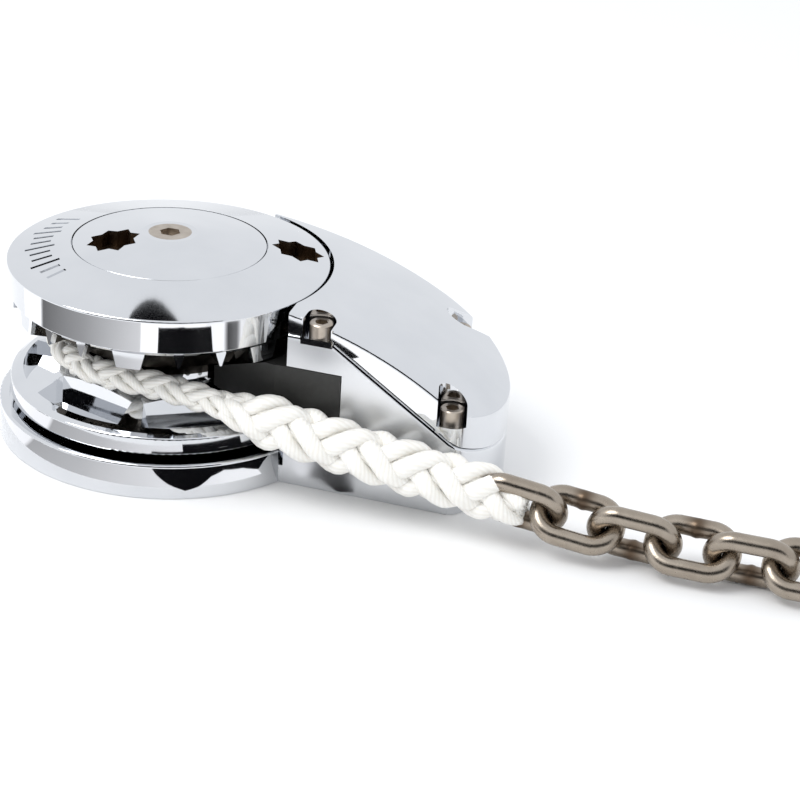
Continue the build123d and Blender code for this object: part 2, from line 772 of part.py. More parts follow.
for k in range(wheel_pockets):
    x = bolt_radius * cos(radians(tooth_angle + pocket_step * k))
    y = bolt_radius * sin(radians(tooth_angle + pocket_step * k))
    upper_wheel -= post(x, y, bolt_head_radius + screw_clearance, bolt_seat, tall)
    upper_wheel -= post(x, y, bolt_shank_radius + screw_clearance, groove_height, tall)
    lower_wheel -= post(x, y, bolt_shank_radius, bolt_seat - bolt_length - screw_end_room, groove_height)
    wheel_screws.append(cap_screw(x, y, bolt_seat, *bolt_sizes))
ring_slope = (ring_inner_height - upper_rim_top) / (upper_rim_radius - ring_inner_radius)
star_top = upper_rim_top + ring_slope * (upper_rim_radius - ring_star_radius)
ring_star = extrude(star(star_radius), tall)
upper_wheel -= around(ring_star_angle, ring_star_radius, star_top - star_depth) * ring_star
for k in range(mark_count):
    length = long_mark if k % 3 == 0 else short_mark
    mark = Rot(0, degrees(atan2(ring_slope, 1)), 0) * Box(length, mark_width, 2 * mark_depth)
    upper_wheel -= around(mark_start_angle + mark_pitch_angle * k, ring_star_radius, star_top) * mark
save(lower_wheel, "chainwheel_lower")
save(upper_wheel, "chainwheel_upper")
save(Compound(children=wheel_screws), "chainwheel_screws")


# ---- Rode ----
def corner_radii(points):
    """Each corner's largest arc: 0.45 of its shorter run over the tangent of half its turn."""
    radii = []
    for a, b, c in zip(points, points[1:], points[2:]):
        run_in = Vector(*b) - Vector(*a)
        run_out = Vector(*c) - Vector(*b)
        turn = radians(run_in.get_angle(run_out))
        radii.append(0.45 * min(run_in.length, run_out.length) / tan(turn / 2))
    return radii


def along(a, b, x):
    """The point of a straight run at a place along X."""
    share = (x - a[0]) / (b[0] - a[0])
    return tuple(p + share * (q - p) for p, q in zip(a, b))


def tube(path, diameter):
    """A round cord along a path."""
    section = Plane(path @ 0, z_dir=path % 0) * Circle(diameter / 2)
    return sweep(section, path=path)


radii = corner_radii(route)
print("rode arc radii:", [round(r, 1) for r in radii])
path = FilletPolyline(*route, radius=radii)
rope = tube(path, rope_diameter)
section_area = pi * rope_diameter**2 / 4
print("rope volume over section times length:", round(rope.volume / (section_area * path.length), 4))
print("rope length:", round(path.length, 1))
save(rope, "rope")

taper_start = along(route[-4], route[-3], splice_taper[0])
taper_end = along(route[-4], route[-3], splice_taper[1])
splice_path = FilletPolyline(taper_end, *route[-3:], radius=radii[-2:])
splice = tube(splice_path, splice_diameter)
axis = Vector(*taper_end) - Vector(*taper_start)
taper = Cone(rope_diameter / 2 + splice_lip, splice_diameter / 2, axis.length, align=upright)
splice += Plane(origin=taper_start, z_dir=axis.normalized()) * taper
splice -= rope
save(splice, "rope_splice")


def chain_link():
    """One link lying along X, with its wire in the XY plane."""
    wire_radius = chain_wire / 2 - link_play / 2
    bow = (chain_width - chain_wire) / 2
    straight = chain_pitch + 2 * chain_wire - chain_width
    link = Part()
    for side in (-1, 1):
        leg = Rot(0, 90, 0) * Cylinder(wire_radius, straight)
        link += Pos(0, side * bow, 0) * leg
        half = Torus(bow, wire_radius) & Box(tall, tall, tall, align=(Align.MIN, Align.CENTER, Align.CENTER))
        link += Pos(side * straight / 2, 0, 0) * Rot(0, 0, 0 if side > 0 else 180) * half
    return link


centre = Vector(*link_start)
half_pitch = chain_pitch / 2
for number, (swing, drop) in enumerate(link_headings, start=1):
    heading = Rot(0, 0, swing) * Rot(0, drop, 0)
    level, slope = radians(swing), radians(drop)
    forward = Vector(cos(slope) * cos(level), cos(slope) * sin(level), -sin(slope))
    if number > 1:
        centre = centre + forward * half_pitch
    roll = odd_link_roll if number % 2 else even_link_roll
    save(Pos(*centre) * heading * Rot(roll, 0, 0) * chain_link(), f"chain_link_{number}")
    centre = centre + forward * half_pitch
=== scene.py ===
# %% [markdown]
# # A low-profile anchor windlass
# The deck unit's castings, bearings, clutch and shaft arrive as a imported frame, already at their real
# size and place. This lesson adds what a workshop adds last: the laid-up rope and its splice, the welded
# chain, and the finish of every surface. The frame comes first, and nothing in it is moved.

# %% Load the frame
import bpy
import json
import math
from itertools import product
from mathutils import Matrix, Quaternion, Vector


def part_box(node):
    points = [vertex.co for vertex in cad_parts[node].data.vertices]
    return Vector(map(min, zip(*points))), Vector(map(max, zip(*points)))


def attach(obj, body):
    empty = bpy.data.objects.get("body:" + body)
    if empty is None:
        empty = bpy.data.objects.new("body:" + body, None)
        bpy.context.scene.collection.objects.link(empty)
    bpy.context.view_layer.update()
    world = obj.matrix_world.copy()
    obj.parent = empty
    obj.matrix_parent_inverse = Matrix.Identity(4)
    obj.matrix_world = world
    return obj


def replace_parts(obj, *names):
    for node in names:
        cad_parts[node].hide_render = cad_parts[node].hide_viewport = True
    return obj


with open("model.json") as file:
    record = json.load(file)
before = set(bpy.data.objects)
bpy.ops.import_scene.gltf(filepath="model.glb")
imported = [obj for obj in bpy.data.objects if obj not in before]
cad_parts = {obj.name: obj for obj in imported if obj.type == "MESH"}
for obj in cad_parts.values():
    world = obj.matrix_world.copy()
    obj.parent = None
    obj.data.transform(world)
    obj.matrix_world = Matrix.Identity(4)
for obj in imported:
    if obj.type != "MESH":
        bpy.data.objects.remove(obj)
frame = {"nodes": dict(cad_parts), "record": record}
bpy.context.view_layer.update()
millimetre = 0.001
full_turn = 2 * math.pi


# %% [markdown]
# ## The camera
# A small metal part looks right from a metre or so away and through a long lens, which keeps round
# flanges from looking egg-shaped. The camera stands in front and to the right, looks down about
# twenty-five degrees, and is tipped a few degrees about its own axis.

# %% Camera
camera_place = Vector((0.3590, -0.8887, 0.4726))
camera_target = Vector((0.1008, 0.0232, 0.0205))
camera_roll = math.radians(3.71)
lens_length = 107.2

camera_data = bpy.data.cameras.new("camera")
camera_data.lens = lens_length
camera_data.clip_start = 0.05
camera = bpy.data.objects.new("camera", camera_data)
bpy.context.scene.collection.objects.link(camera)
bpy.context.scene.camera = camera
camera.rotation_mode = "QUATERNION"
camera.location = camera_place
aim = (camera_target - camera_place).to_track_quat("-Z", "Y")
camera.rotation_quaternion = aim @ Quaternion((0, 0, 1), camera_roll)
print("camera distance:", round((camera_target - camera_place).length, 3))


# %% [markdown]
# ## The rode's line
# The rode comes up out of the deck pipe, goes round the wheel's groove and leaves along the housing to the
# chain. It is under load, so it is nearly straight between the wheel and the chain. A NURBS spline through a
# few chosen points is the smoothest way to draw such a line, and everything that is laid along the
# rope reads its points from that one spline.

# %% Route of the rope
rope_diameter = 0.013
splice_diameter = 0.024
rope_seat_radius = 46.5
wrap_turn = 47.0
wrap_corner = rope_seat_radius / math.cos(math.radians(wrap_turn / 2))
wrap_angles = (105.5, 152.5, 199.5, 246.5)
groove_height = 41.0

route = [(110.0, 29.0, 1.0), (110.0, 29.3, 23.0), (93.0, 32.6, 40.4), (52.0, 39.4, 41.3)]
for angle in wrap_angles:
    turn = math.radians(angle)
    route.append((wrap_corner * math.cos(turn), wrap_corner * math.sin(turn), groove_height))
route += [(24.0, -46.5, 41.0), (84.0, -46.4, 30.2), (140.0, -46.2, 23.4), (176.0, -46.0, 18.7)]
route = [Vector(point) * millimetre for point in route]


def spline_points(points, steps=24):
    """The points of a smooth line that follows a route, read from a curve with no thickness."""
    data = bpy.data.curves.new("route", "CURVE")
    data.dimensions = "3D"
    data.resolution_u = steps
    spline = data.splines.new("NURBS")
    spline.points.add(len(points) - 1)
    for control, place in zip(spline.points, points):
        control.co = (*place, 1.0)
    spline.order_u = 3
    spline.use_endpoint_u = True
    holder = bpy.data.objects.new("route", data)
    line = bpy.data.meshes.new_from_object(holder)
    found = [vertex.co.copy() for vertex in line.vertices]
    bpy.data.meshes.remove(line)
    bpy.data.curves.remove(data)
    return found


rope_line = spline_points(route)
rope_length = sum((b - a).length for a, b in zip(rope_line, rope_line[1:]))
print("rope points:", len(rope_line), "length:", round(rope_length, 4))


# %% [markdown]
# ## Even steps and a steady frame
# A strand has to turn round the rope at a steady rate, so the line is walked in equal steps. At each step
# a sideways direction is carried along without twisting. That is called parallel transport: the direction
# from the step before is kept, less whatever part of it now points along the rope.

# %% Walk along a line
def walk(line, step):
    """Places, directions, sideways directions and distances at even steps along a line."""
    lengths = [0.0]
    for a, b in zip(line, line[1:]):
        lengths.append(lengths[-1] + (b - a).length)
    count = max(2, round(lengths[-1] / step))
    places, index = [], 0
    for k in range(count + 1):
        at = lengths[-1] * k / count
        while index < len(line) - 2 and lengths[index + 1] < at:
            index += 1
        share = (at - lengths[index]) / (lengths[index + 1] - lengths[index])
        places.append(line[index].lerp(line[index + 1], share))
    directions = []
    for k in range(count + 1):
        directions.append((places[min(k + 1, count)] - places[max(k - 1, 0)]).normalized())
    side = directions[0].orthogonal().normalized()
    sides = []
    for direction in directions:
        side = (side - direction * side.dot(direction)).normalized()
        sides.append(side.copy())
    distances = [lengths[-1] * k / count for k in range(count + 1)]
    return places, directions, sides, distances


def on_line(line, x):
    """How far along a line it first passes a place along X on its way out to the chain."""
    far, total = 0.0, 0.0
    for a, b in zip(line, line[1:]):
        total += (b - a).length
        if a.y < 0 and a.x < x <= b.x:
            far = total - (b.x - x)
    return far


strand_step = 1.2 * millimetre
print("even steps:", len(walk(rope_line, strand_step)[0]))


# %% [markdown]
# ## Eight-strand plait
# This rope is a square plait: four strands run round it one way and four the other, in pairs, and the
# pairs pass over and under each other. Each strand's centre is therefore a helix whose radius rises and
# falls, out where its pair passes over and in where it passes under. The two strands of a pair stand apart
# round the rope, so that each shows as a leaf of its own. Sweeping an oval section along that
# line gives a strand, and eight of them give the rope. A twisted tube with a bumpy surface would be
# quicker, but its outline would stay straight, and the lumpy outline is what makes a plait.

# %% Centre lines of the strands
twin_turn = 0.72
strand_ring_share = 0.275
strand_dip_share = 0.085
dip_squareness = 1.35


def strand_centres(walked, kept, start, end, size, lay_length, hand, pair, twin):
    """One strand's centres, outward directions and rope diameters at the kept steps."""
    places, directions, sides, distances = walked
    centres = []
    for k in kept:
        diameter = size((distances[k] - start) / (end - start))
        phase = full_turn * (distances[k] - start) / lay_length
        over = math.cos(2 * phase + twin * twin_turn - math.pi / 2) * hand
        over = max(-1.0, min(1.0, over * dip_squareness))
        angle = hand * (phase + twin * twin_turn) + pair * math.pi
        angle += math.pi / 2 if hand < 0 else 0.0
        across = directions[k].cross(sides[k])
        outward = sides[k] * math.cos(angle) + across * math.sin(angle)
        radius = diameter * (strand_ring_share + strand_dip_share * over)
        centres.append((places[k] + outward * radius, outward, diameter))
    return centres


print("a strand stands", round(math.degrees(twin_turn)), "degrees from its pair's middle")


# %% [markdown]
# ## Sweeping a strand
# Each strand is a tube of rings with an oval section, wider round the rope than it is deep, because the
# strands press each other flat. Its map runs round the strand one way and along the rope the other, for
# the yarns' ridges later.

# %% Sweep and plait
section_sides = 12
strand_width_share = 0.170
strand_depth_share = 0.132


def sweep(centres, heights, vertices, faces, uvs):
    """Adds a strand's rings, the faces between them and its two ends to the lists of a mesh."""
    first = len(vertices)
    rows = len(centres)
    shares = [side / section_sides for side in range(section_sides + 1)]
    for row, (centre, outward, diameter) in enumerate(centres):
        before = centres[max(row - 1, 0)][0]
        after = centres[min(row + 1, rows - 1)][0]
        forward = (after - before).normalized()
        out = (outward - forward * outward.dot(forward)).normalized()
        flat = forward.cross(out) * strand_width_share * diameter
        deep = out * strand_depth_share * diameter
        for side in range(section_sides):
            turn = full_turn * shares[side]
            vertices.append(centre + flat * math.cos(turn) + deep * math.sin(turn))
    for row in range(rows - 1):
        a = first + row * section_sides
        b = a + section_sides
        low, high = heights[row], heights[row + 1]
        for side in range(section_sides):
            following = (side + 1) % section_sides
            left, right = shares[side], shares[side + 1]
            faces.append((a + side, a + following, b + following, b + side))
            uvs += [(left, low), (right, low), (right, high), (left, high)]
    last = first + (rows - 1) * section_sides
    faces.append(tuple(first + side for side in reversed(range(section_sides))))
    faces.append(tuple(last + side for side in range(section_sides)))
    uvs += [(share, 0.0) for share in shares[:-1]] * 2


def plait(name, line, start, end, size, lay_length):
    """Eight plaited strands along a stretch of a line. size(share) is the rope's diameter there."""
    walked = walk(line, strand_step)
    distances = walked[3]
    kept = [k for k, far in enumerate(distances) if start <= far <= end]
    heights = [distances[k] for k in kept]
    vertices, faces, uvs = [], [], []
    for hand, pair, twin in product((1, -1), (0, 1), (-1, 1)):
        centres = strand_centres(walked, kept, start, end, size, lay_length, hand, pair, twin)
        sweep(centres, heights, vertices, faces, uvs)
    mesh = bpy.data.meshes.new(name)
    mesh.from_pydata(vertices, [], faces)
    layer = mesh.uv_layers.new(name="along_strand")
    for loop, uv in zip(layer.data, uvs):
        loop.uv = uv
    for polygon in mesh.polygons:
        polygon.use_smooth = len(polygon.vertices) == 4
    made = bpy.data.objects.new(name, mesh)
    bpy.context.scene.collection.objects.link(made)
    return made


rope_lay = 40.0 * millimetre
rope_start = 2.0 * millimetre
rope = plait("rope_strands", rope_line, rope_start, rope_length, lambda share: rope_diameter, rope_lay)
print("rope strands:", len(rope.data.polygons), "faces")


# %% [markdown]
# ## The splice
# Where rope meets chain its strands are tucked back into themselves, which almost doubles the thickness.
# The same plait does it with a larger diameter and a longer lay. It swells over the first tucks and
# closes again round the first link.

# %% Splice
splice_start_x = 44.0 * millimetre
splice_start = on_line(rope_line, splice_start_x)
splice_end = rope_length
splice_lay = 62.0 * millimetre
swell_share = 0.16
close_share = 0.90
first_tuck_diameter = rope_diameter * 1.1
end_narrowing = 0.22


def splice_size(share):
    """The splice's diameter along its length: it swells quickly and closes round the link."""
    if share < swell_share:
        ease = share / swell_share
        ease = ease * ease * (3 - 2 * ease)
        return first_tuck_diameter + (splice_diameter - first_tuck_diameter) * ease
    if share > close_share:
        ease = (share - close_share) / (1 - close_share)
        return splice_diameter * (1 - end_narrowing * ease * ease)
    return splice_diameter


splice = plait("splice_strands", rope_line, splice_start, splice_end, splice_size, splice_lay)
print("splice length:", round(splice_end - splice_start, 4))


# %% [markdown]
# ## One welded chain link
# Short-link chain is bent from round bar and butt-welded in the middle of one leg, which leaves a small bead.
# The link starts as a torus. Its two halves are moved apart, so that the faces between them become the
# straight legs, and the legs are subdivided where the bead is raised. The bead is ground flush on the
# outside, where the link would otherwise catch.

# %% Model the link
chain_wire = 8.0 * millimetre
chain_pitch = 24.0 * millimetre
chain_width = 27.0 * millimetre
link_play = 0.05 * millimetre
wire_radius = (chain_wire - link_play) / 2
bow_radius = (chain_width - chain_wire) / 2
straight = chain_pitch + 2 * chain_wire - chain_width
bow_segments = 44
wire_segments = 20
leg_cuts = 15
bead_rise = 0.50 * millimetre
bead_width = 1.5 * millimetre
heat_width = 3 * bead_width


def deselect():
    """Clears the selection, so that an operator acts only on what comes next."""
    if bpy.context.object and bpy.context.object.mode != "OBJECT":
        bpy.ops.object.mode_set(mode="OBJECT")
    bpy.ops.object.select_all(action="DESELECT")


def select_points(mesh_object, wanted):
    """Selects in edit mode the vertices for which wanted(place) holds."""
    bpy.ops.object.mode_set(mode="EDIT")
    bpy.ops.mesh.select_mode(type="VERT")
    bpy.ops.mesh.select_all(action="DESELECT")
    bpy.ops.object.mode_set(mode="OBJECT")
    for vertex in mesh_object.data.vertices:
        vertex.select = wanted(vertex.co)
    bpy.ops.object.mode_set(mode="EDIT")


deselect()
bpy.ops.mesh.primitive_torus_add(
    major_radius=bow_radius,
    minor_radius=wire_radius,
    major_segments=bow_segments,
    minor_segments=wire_segments,
    rotation=(0, 0, math.pi / bow_segments),
)
link = bpy.context.object
bpy.ops.object.transform_apply(location=True, rotation=True, scale=True)
for way in (1, -1):
    select_points(link, lambda place: place.x * way > 0)
    bpy.ops.transform.translate(value=(way * straight / 2, 0, 0))
    bpy.ops.object.mode_set(mode="OBJECT")
bpy.ops.object.mode_set(mode="EDIT")
bpy.ops.mesh.select_mode(type="EDGE")
bpy.ops.mesh.select_all(action="DESELECT")
bpy.ops.object.mode_set(mode="OBJECT")
for edge in link.data.edges:
    a, b = (link.data.vertices[v].co for v in edge.vertices)
    edge.select = a.x * b.x < 0
bpy.ops.object.mode_set(mode="EDIT")
bpy.ops.mesh.subdivide(number_cuts=leg_cuts)
bpy.ops.object.mode_set(mode="OBJECT")
weld = link.data.attributes.new("weld", "FLOAT", "POINT")
for index, vertex in enumerate(link.data.vertices):
    if vertex.co.y <= 0:
        continue
    weld.data[index].value = math.exp(-((vertex.co.x / heat_width) ** 2))
    outward = (vertex.co - Vector((vertex.co.x, bow_radius, 0))).normalized()
    rise = bead_rise * math.exp(-((vertex.co.x / bead_width) ** 2))
    vertex.co += outward * rise * (1 - max(0.0, outward.y))
bpy.ops.object.shade_smooth()
print("link:", len(link.data.polygons), "faces")


# %% [markdown]
# ## Six links in line
# Neighbouring links lean opposite ways. One stands nearly on edge and the next lies nearly flat, because a
# chain that comes off a deck under load rests on the edges of its links. Each copy has a mesh of its own.

# %% Lay out the chain
link_start = Vector((174.5, -46.0, 18.9)) * millimetre
link_headings = ((0.6, 7.0), (0.8, 6.5), (0.8, 3.5), (0.6, 0.8), (0.6, 0.0), (0.6, 0.0))
odd_link_roll = math.radians(-68)
even_link_roll = math.radians(38)

links = []
centre = link_start.copy()
for number, (swing, drop) in enumerate(link_headings, start=1):
    heading = Matrix.Rotation(math.radians(swing), 4, "Z") @ Matrix.Rotation(math.radians(drop), 4, "Y")
    forward = heading @ Vector((1, 0, 0))
    if number > 1:
        centre = centre + forward * chain_pitch / 2
    roll = odd_link_roll if number % 2 else even_link_roll
    placed = Matrix.Translation(centre) @ heading @ Matrix.Rotation(roll, 4, "X")
    copy = bpy.data.objects.new(f"welded_link_{number}", link.data.copy())
    copy.data.transform(placed)
    bpy.context.scene.collection.objects.link(copy)
    links.append(copy)
    centre = centre + forward * chain_pitch / 2
bpy.data.objects.remove(link)
print("chain links:", len(links))


# %% [markdown]
# ## Shader maths that reads like maths
# Finishes are built from nodes. A small class wraps a socket, so that plus, minus, times and the
# comparisons add their Math nodes, and a second one holds the material and adds any other node.

# %% Helpers for finishes
class Wire:
    """One output socket of a finish. Arithmetic on it adds Math nodes."""

    def __init__(self, finish, socket):
        self.finish = finish
        self.socket = socket

    def math(self, operation, *values):
        return self.finish.node("ShaderNodeMath", {"operation": operation}, dict(enumerate(values)))

    def __add__(self, other):
        return self.math("ADD", self, other)

    def __radd__(self, other):
        return self.math("ADD", other, self)

    def __sub__(self, other):
        return self.math("SUBTRACT", self, other)

    def __rsub__(self, other):
        return self.math("SUBTRACT", other, self)

    def __mul__(self, other):
        return self.math("MULTIPLY", self, other)

    def __rmul__(self, other):
        return self.math("MULTIPLY", other, self)

    def __lt__(self, other):
        return self.math("LESS_THAN", self, other)

    def __gt__(self, other):
        return self.math("GREATER_THAN", self, other)


class Finish:
    """A material and its nodes."""

    def __init__(self, name, **constants):
        self.material = bpy.data.materials.new(name)
        self.material.use_nodes = True
        self.tree = self.material.node_tree
        self.shader = self.tree.nodes["Principled BSDF"]
        self.set(**constants)
        self.place = self.node("ShaderNodeTexCoord", output="Object")

    def node(self, kind, settings=None, sockets=None, output=0):
        """Adds a node, makes its settings, fills its sockets and returns one of its outputs."""
        made = self.tree.nodes.new(kind)
        for name, value in (settings or {}).items():
            if name == "stops":
                elements = made.color_ramp.elements
                while len(elements) < len(value):
                    elements.new(1.0)
                for element, (position, colour) in zip(elements, value):
                    element.position, element.color = position, (*colour, 1.0)
            else:
                setattr(made, name, value)
        for key, value in (sockets or {}).items():
            self.plug(made.inputs[key], value)
        return Wire(self, made.outputs[output])

    def plug(self, socket, value):
        if isinstance(value, Wire):
            self.tree.links.new(value.socket, socket)
        else:
            socket.default_value = value

    def set(self, **sockets):
        """Sets or links the shader's own sockets, named with underscores for spaces."""
        for name, value in sockets.items():
            self.plug(self.shader.inputs[name.replace("_", " ")], value)

    def noise(self, scale, detail=2.0, vector=None):
        """A soft random value between 0 and 1."""
        sockets = {"Vector": vector or self.place, "Scale": scale, "Detail": detail}
        return self.node("ShaderNodeTexNoise", sockets=sockets, output="Fac")

    def mix(self, factor, low, high, blend="MIX"):
        """A blend of two colours."""
        sockets = {0: factor, 6: as_colour(low), 7: as_colour(high)}
        return self.node("ShaderNodeMix", {"data_type": "RGBA", "blend_type": blend}, sockets, output=2)

    def axes(self):
        """The place's X, Y and Z."""
        return [self.node("ShaderNodeSeparateXYZ", sockets={0: self.place}, output=k) for k in range(3)]

    def away(self, x=0.0, y=0.0):
        """How far the place is from a vertical line through X and Y; the shaft's axis if not said."""
        here = self.axes()
        flat = self.node("ShaderNodeCombineXYZ", sockets={0: here[0], 1: here[1], 2: 0.0})
        ends = {0: flat, 1: (x, y, 0.0)}
        return self.node("ShaderNodeVectorMath", {"operation": "DISTANCE"}, ends, output="Value")

    def bump(self, height, strength, distance):
        """Raises the surface's look by a height, without moving it."""
        sockets = {"Height": height, "Strength": strength, "Distance": distance}
        self.set(Normal=self.node("ShaderNodeBump", sockets=sockets))


def as_colour(value):
    return value if isinstance(value, Wire) else (*value, 1.0)


print("finish helpers ready")


# %% [markdown]
# ## Chrome plate
# Chrome on polished bronze is a mirror with a faint blue cast. What keeps it from looking like computer
# chrome is what handling and casting leave: a long, slow waviness under the plate, and a film that
# makes some patches a little softer. The star sockets are never polished, so inside them the plate turns
# brown and dull. A mask finds them from their place and from the height of the dome above them.

# %% Masks for the chrome
socket_depth_start = 0.4 * millimetre
groove_edge_radius = 64.0 * millimetre
grip_bottom, grip_top = 41.5 * millimetre, 64.0 * millimetre
wall_front, wall_back, wall_start = -34.15 * millimetre, -33.85 * millimetre, 66.0 * millimetre


def socket_mask(finish, centre, radius, dome_top, dome_slope, dome_start):
    """1 inside a socket sunk into a dome, 0 outside it."""
    x, y, z = finish.axes()
    surface = dome_top - (finish.away() - dome_start) * dome_slope
    return (finish.away(*centre) < radius) * (z < surface - socket_depth_start)


def groove_wear_and_shade(finish):
    """1 in the wheel's groove, whose plate gets painted near-black shade and is rubbed dull."""
    x, y, z = finish.axes()
    return (finish.away() < groove_edge_radius) * (z < grip_top) * (z > grip_bottom)


def satin_wall(finish):
    """1 on the housing's flat wall beside the rode."""
    x, y, z = finish.axes()
    return (y < wall_back) * (y > wall_front) * (x > wall_start)


print("masks:", socket_mask.__name__, groove_wear_and_shade.__name__, satin_wall.__name__)


# %% [markdown]
# ## Plating the castings
# One function plates every casting. Its extras are the masks: brown sockets, a groove whose plate is
# painted near-black as shade and rubbed dull, and the slightly softer wall beside the rope, which would
# otherwise show a second rope as sharp as the first.

# %% Chrome finish
plate_tones = (0.66, 0.675, 0.70), (0.75, 0.76, 0.78)
grime_tones = (0.045, 0.028, 0.018), (0.26, 0.19, 0.13)
# The groove's near-black tones are painted shade, where the wheel's groove lies in shadow.
groove_shade_tones = (0.025, 0.024, 0.022), (0.09, 0.08, 0.07)
plate_roughness, film_roughness = 0.02, 0.10
grime_roughness, worn_roughness, satin_roughness = 0.32, 0.16, 0.26


def chrome(name, sockets=(), wear_and_shade=None, satin=None):
    """Chrome plate. sockets are star sockets' values; the last two are masks: painted shade with wear, satin.
    """
    finish = Finish(name, Metallic=1.0)
    film = finish.noise(45.0, 3.0)
    plate = finish.mix(film, *plate_tones)
    roughness = plate_roughness + film * finish.noise(9.0, 2.0) * film_roughness
    for values in sockets:
        mask = socket_mask(finish, *values)
        plate = finish.mix(mask, plate, finish.mix(finish.noise(420.0, 4.0), *grime_tones))
        roughness = roughness + mask * grime_roughness
    if wear_and_shade:
        mask = wear_and_shade(finish)
        # Inside the groove the plate is painted near-black as shade; the roughness below is the rode's wear.
        plate = finish.mix(mask, plate, finish.mix(finish.noise(300.0, 3.0), *groove_shade_tones))
        roughness = roughness + mask * worn_roughness
    if satin:
        roughness = roughness + satin(finish) * satin_roughness
    finish.set(Base_Color=plate, Roughness=roughness)
    finish.bump(finish.noise(14.0, 1.0), 0.10, 0.0006)
    return finish.material


def around_axis(radius, angle):
    """The X and Y of a place at a radius and an angle about the shaft, in metres."""
    turn = math.radians(angle)
    return (radius * millimetre * math.cos(turn), radius * millimetre * math.sin(turn))


star_reach = 11.8 * millimetre
nut_flat_radius, nut_edge_radius, nut_edge_height = 12.0, 41.8, 85.9
ring_inner_radius, ring_outer_radius, ring_outer_height = 42.3, 69.8, 79.2
nut_star, ring_star = around_axis(24.7, -146.0), around_axis(55.6, 24.5)
nut_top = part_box("clutch_nut")[1].z
ring_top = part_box("chainwheel_upper")[1].z
nut_drop = nut_top / millimetre - nut_edge_height
ring_drop = ring_top / millimetre - ring_outer_height
nut_slope = nut_drop / (nut_edge_radius - nut_flat_radius)
ring_slope = ring_drop / (ring_outer_radius - ring_inner_radius)
nut_socket = (nut_star, star_reach, nut_top, nut_slope, nut_flat_radius * millimetre)
ring_socket = (ring_star, star_reach, ring_top, ring_slope, ring_inner_radius * millimetre)
chrome_plate = chrome("chrome_plate")
chrome_nut = chrome("chrome_nut", [nut_socket])
chrome_ring = chrome("chrome_ring", [ring_socket], wear_and_shade=groove_wear_and_shade)
chrome_housing = chrome("chrome_housing", satin=satin_wall)
print("chrome finishes:", chrome_plate.name, chrome_nut.name, chrome_ring.name)


# %% [markdown]
# ## Rope yarn
# Each strand is a bundle of fine twisted yarns. Their slanting ridges come from the strand's own map, in
# which one axis runs round the strand and the other along it, and nylon's soft shine comes from sheen.

# %% Nylon finish
yarns_per_strand, yarns_per_metre = 9.0, 520.0


def nylon(name):
    """Soft white yarns, laid slantwise along each strand."""
    finish = Finish(name, Roughness=0.34, Sheen_Weight=0.35, Sheen_Roughness=0.4, Subsurface_Weight=0.08)
    finish.set(Subsurface_Radius=(0.004, 0.0035, 0.003), Subsurface_Scale=0.5)
    strand_map = finish.node("ShaderNodeUVMap", {"uv_map": "along_strand"})
    around, along = (finish.node("ShaderNodeSeparateXYZ", sockets={0: strand_map}, output=k) for k in (0, 1))
    slant = around * yarns_per_strand + along * yarns_per_metre
    ridge = slant.math("SINE", slant * full_turn)
    patches = finish.noise(160.0, 3.0)
    yarn = finish.mix(patches, (0.86, 0.84, 0.785), (0.96, 0.95, 0.92))
    shade = finish.mix(ridge * 0.5 + 0.5, (0.93, 0.92, 0.90), (1.0, 1.0, 1.0))
    finish.set(Base_Color=finish.mix(1.0, yarn, shade, blend="MULTIPLY"))
    finish.bump(ridge + finish.noise(900.0, 2.0), 0.22, 0.0003)
    return finish.material


nylon_yarn = nylon("nylon_yarn")
print("rope finish:", nylon_yarn.name)


# %% [markdown]
# ## Welded stainless
# Chain is polished after it is welded, but the heat leaves a warm straw colour round the bead, and the wire
# keeps fine drawing marks. The bead's own attribute says where to darken it.

# %% Chain and other metals
def bare_metal(name, low, high, rough, grain, weld=False):
    """Bare metal with patches of two tones, a grain, and a heat tint round a weld."""
    finish = Finish(name, Metallic=1.0)
    tone = finish.mix(finish.noise(grain, 4.0), low, high)
    roughness = rough + finish.noise(grain * 3.0, 2.0) * 0.16
    if weld:
        heat = finish.node("ShaderNodeAttribute", {"attribute_name": "weld"}, output="Fac")
        tone = finish.mix(heat * 0.9, tone, (0.11, 0.072, 0.045))
        roughness = roughness + heat * 0.12
    finish.set(Base_Color=tone, Roughness=roughness)
    finish.bump(finish.noise(grain * 6.0, 3.0), 0.25, 0.0001)
    return finish.material


def dull(name, low, high, rough, grain, depth):
    """Plastic or rubber with a fine moulded grain."""
    finish = Finish(name)
    cloud = finish.noise(grain / 6, 3.0)
    finish.set(Base_Color=finish.mix(cloud, low, high), Roughness=rough + cloud * 0.12)
    finish.bump(finish.noise(grain, 3.0), 0.4, depth)
    return finish.material


